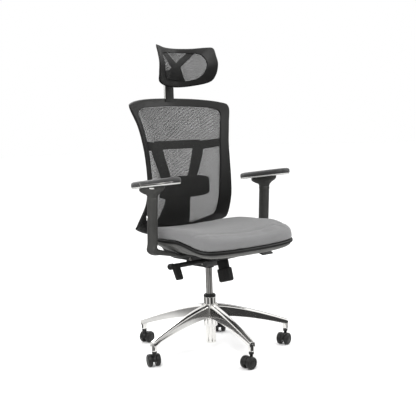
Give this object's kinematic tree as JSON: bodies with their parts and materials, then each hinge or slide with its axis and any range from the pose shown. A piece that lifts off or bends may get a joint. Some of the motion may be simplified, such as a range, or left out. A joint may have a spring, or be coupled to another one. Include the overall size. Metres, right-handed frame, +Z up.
{
  "type": "office chair",
  "caption": "High-back mesh office chair with headrest, height-adjustable arms, fabric seat, synchro recline, gas lift and a polished star base on twin-wheel castors.",
  "frame": {"origin": "on the floor, on the axis of the gas lift", "axes": "+Z up, the chair faces -Y, +X towards the sitter's left"},
  "size_m": [0.6948, 0.6767, 1.2768],
  "materials": {
    "polished_aluminium": "polished",
    "chrome": "polished",
    "silver_trim": "satin",
    "steel": "satin",
    "black_plastic": "satin",
    "black_steel": "satin",
    "grey_plastic": "matte",
    "shell_grey": "matte",
    "pad_black": "matte",
    "seat_fabric": "matte",
    "mesh_fabric": "matte"
  },
  "bodies": {
    "arm_button_left": {"arm_button_left": "silver_trim"},
    "arm_button_right": {"arm_button_right": "silver_trim"},
    "arm_pad_left": {"arm_pad_left": "pad_black", "arm_pad_plate_left": "silver_trim"},
    "arm_pad_right": {"arm_pad_plate_right": "silver_trim", "arm_pad_right": "pad_black"},
    "arm_post_left": {"arm_post_left": "grey_plastic"},
    "arm_post_right": {"arm_post_right": "grey_plastic"},
    "back": {"back_bracket": "black_steel", "back_frame": "black_plastic", "back_mesh": "mesh_fabric", "back_spine": "black_plastic"},
    "base": {"base_star": "polished_aluminium", "gas_guide_bush": "black_plastic", "gas_outer_tube": "chrome"},
    "castor_1": {"castor_1_axle": "steel", "castor_1_hood": "black_plastic", "castor_1_stem": "black_steel"},
    "castor_1_wheel_left": {"castor_1_wheel_left": "black_plastic"},
    "castor_1_wheel_right": {"castor_1_wheel_right": "black_plastic"},
    "castor_2": {"castor_2_axle": "steel", "castor_2_hood": "black_plastic", "castor_2_stem": "black_steel"},
    "castor_2_wheel_left": {"castor_2_wheel_left": "black_plastic"},
    "castor_2_wheel_right": {"castor_2_wheel_right": "black_plastic"},
    "castor_3": {"castor_3_axle": "steel", "castor_3_hood": "black_plastic", "castor_3_stem": "black_steel"},
    "castor_3_wheel_left": {"castor_3_wheel_left": "black_plastic"},
    "castor_3_wheel_right": {"castor_3_wheel_right": "black_plastic"},
    "castor_4": {"castor_4_axle": "steel", "castor_4_hood": "black_plastic", "castor_4_stem": "black_steel"},
    "castor_4_wheel_left": {"castor_4_wheel_left": "black_plastic"},
    "castor_4_wheel_right": {"castor_4_wheel_right": "black_plastic"},
    "castor_5": {"castor_5_axle": "steel", "castor_5_hood": "black_plastic", "castor_5_stem": "black_steel"},
    "castor_5_wheel_left": {"castor_5_wheel_left": "black_plastic"},
    "castor_5_wheel_right": {"castor_5_wheel_right": "black_plastic"},
    "column_turn": {"gas_piston_rod": "steel"},
    "headrest": {"headrest_frame": "black_plastic", "headrest_mesh": "mesh_fabric", "headrest_yoke": "black_plastic"},
    "headrest_post": {"headrest_post": "black_plastic"},
    "height_lever": {"height_lever": "black_plastic"},
    "lumbar": {"lumbar_pad": "black_plastic"},
    "mechanism": {"gas_cylinder": "steel", "mechanism_housing": "black_steel", "tension_bolt": "steel", "tension_spring": "steel", "tilt_axle": "steel"},
    "seat": {"arm_sleeve_left": "grey_plastic", "arm_sleeve_right": "grey_plastic", "seat_carrier": "black_steel", "seat_cushion": "seat_fabric", "seat_rim": "black_plastic", "seat_shell": "shell_grey"},
    "tension_knob": {"tension_knob": "black_plastic"},
    "tilt_lever": {"tilt_lever": "black_plastic"}
  },
  "joints": [
    {"name": "castor_1_swivel", "type": "hinge", "parent": "base", "child": "castor_1", "pos_m": [-0.324, -0.0255, 0], "axis": [0, 0, 1], "continuous": true},
    {"name": "castor_1_wheel_left_spin", "type": "hinge", "parent": "castor_1", "child": "castor_1_wheel_left", "pos_m": [-0.31736, -0.00985, 0.025], "axis": [-0.9205, 0.3907, 0], "continuous": true},
    {"name": "castor_1_wheel_right_spin", "type": "hinge", "parent": "castor_1", "child": "castor_1_wheel_right", "pos_m": [-0.31736, -0.00985, 0.025], "axis": [-0.9205, 0.3907, 0], "continuous": true},
    {"name": "castor_2_swivel", "type": "hinge", "parent": "base", "child": "castor_2", "pos_m": [-0.07587, -0.31602, 0], "axis": [0, 0, 1], "continuous": true},
    {"name": "castor_2_wheel_left_spin", "type": "hinge", "parent": "castor_2", "child": "castor_2_wheel_left", "pos_m": [-0.09287, -0.31602, 0.025], "axis": [0, -1, 0], "continuous": true},
    {"name": "castor_2_wheel_right_spin", "type": "hinge", "parent": "castor_2", "child": "castor_2_wheel_right", "pos_m": [-0.09287, -0.31602, 0.025], "axis": [0, -1, 0], "continuous": true},
    {"name": "castor_3_swivel", "type": "hinge", "parent": "base", "child": "castor_3", "pos_m": [0.27711, -0.16981, 0], "axis": [0, 0, 1], "continuous": true},
    {"name": "castor_3_wheel_left_spin", "type": "hinge", "parent": "castor_3", "child": "castor_3_wheel_left", "pos_m": [0.26094, -0.17507, 0.025], "axis": [0.309, -0.9511, 0], "continuous": true},
    {"name": "castor_3_wheel_right_spin", "type": "hinge", "parent": "castor_3", "child": "castor_3_wheel_right", "pos_m": [0.26094, -0.17507, 0.025], "axis": [0.309, -0.9511, 0], "continuous": true},
    {"name": "castor_4_swivel", "type": "hinge", "parent": "base", "child": "castor_4", "pos_m": [0.24713, 0.21107, 0], "axis": [0, 0, 1], "continuous": true},
    {"name": "castor_4_wheel_left_spin", "type": "hinge", "parent": "castor_4", "child": "castor_4_wheel_left", "pos_m": [0.2343, 0.19992, 0.025], "axis": [0.6561, -0.7547, 0], "continuous": true},
    {"name": "castor_4_wheel_right_spin", "type": "hinge", "parent": "castor_4", "child": "castor_4_wheel_right", "pos_m": [0.2343, 0.19992, 0.025], "axis": [0.6561, -0.7547, 0], "continuous": true},
    {"name": "castor_5_swivel", "type": "hinge", "parent": "base", "child": "castor_5", "pos_m": [-0.12437, 0.30026, 0], "axis": [0, 0, 1], "continuous": true},
    {"name": "castor_5_wheel_left_spin", "type": "hinge", "parent": "castor_5", "child": "castor_5_wheel_left", "pos_m": [-0.10795, 0.30466, 0.025], "axis": [-0.2588, 0.9659, 0], "continuous": true},
    {"name": "castor_5_wheel_right_spin", "type": "hinge", "parent": "castor_5", "child": "castor_5_wheel_right", "pos_m": [-0.10795, 0.30466, 0.025], "axis": [-0.2588, 0.9659, 0], "continuous": true},
    {"name": "seat_swivel", "type": "hinge", "parent": "base", "child": "column_turn", "pos_m": [0, 0, 0.032], "axis": [0, 0, 1], "continuous": true},
    {"name": "gas_lift", "type": "slide", "parent": "column_turn", "child": "mechanism", "axis": [0, 0, 1], "range_m": [-0.1, 0], "stiffness_N_per_m": 300, "springref_m": 0.9},
    {"name": "recline", "type": "hinge", "parent": "mechanism", "child": "back", "pos_m": [0, 0.05, 0.388], "axis": [-1, 0, 0], "range_deg": [0, 20], "stiffness_Nm_per_rad": 60, "springref_deg": -28.65},
    {"name": "seat_tilt", "type": "hinge", "parent": "mechanism", "child": "seat", "pos_m": [0, -0.11, 0.411], "axis": [-1, 0, 0], "range_deg": [0, 8]},
    {"name": "tension_knob_turn", "type": "hinge", "parent": "mechanism", "child": "tension_knob", "pos_m": [0, -0.087, 0.3905], "axis": [0, -0.2419, -0.9703], "range_deg": [-540, 540]},
    {"name": "height_lever_lift", "type": "hinge", "parent": "mechanism", "child": "height_lever", "pos_m": [0, -0.058, 0.394], "axis": [-1, 0, 0], "range_deg": [0, 25], "stiffness_Nm_per_rad": 1.5, "springref_deg": -8.59},
    {"name": "tilt_lever_lift", "type": "hinge", "parent": "mechanism", "child": "tilt_lever", "pos_m": [0, -0.058, 0.394], "axis": [-1, 0, 0], "range_deg": [0, 20]},
    {"name": "arm_height_left", "type": "slide", "parent": "seat", "child": "arm_post_left", "axis": [0, -0.0665, 0.9978], "range_m": [0, 0.075]},
    {"name": "arm_pad_slide_left", "type": "slide", "parent": "arm_post_left", "child": "arm_pad_left", "axis": [0, -0.9951, 0.0993], "range_m": [-0.025, 0.025]},
    {"name": "arm_button_press_left", "type": "slide", "parent": "seat", "child": "arm_button_left", "axis": [-0.8338, -0.5521, 0], "range_m": [0, 0.0025], "stiffness_N_per_m": 200},
    {"name": "arm_height_right", "type": "slide", "parent": "seat", "child": "arm_post_right", "axis": [0, -0.0665, 0.9978], "range_m": [0, 0.075]},
    {"name": "arm_pad_slide_right", "type": "slide", "parent": "arm_post_right", "child": "arm_pad_right", "axis": [0, -0.9951, 0.0993], "range_m": [-0.025, 0.025]},
    {"name": "arm_button_press_right", "type": "slide", "parent": "seat", "child": "arm_button_right", "axis": [0.8338, -0.5521, 0], "range_m": [0, 0.0025], "stiffness_N_per_m": 200},
    {"name": "lumbar_height", "type": "slide", "parent": "back", "child": "lumbar", "axis": [0, -0.1488, 0.9889], "range_m": [-0.01, 0.03]},
    {"name": "headrest_height", "type": "slide", "parent": "back", "child": "headrest_post", "axis": [0, 0, 1], "range_m": [-0.035, 0]},
    {"name": "headrest_tilt", "type": "hinge", "parent": "headrest_post", "child": "headrest", "pos_m": [0, 0.215, 1.172], "axis": [1, 0, 0], "range_deg": [-20, 20]}
  ],
  "couplings": [
    {"joint": "seat_tilt", "follows": "recline", "ratio": 0.4}
  ]
}
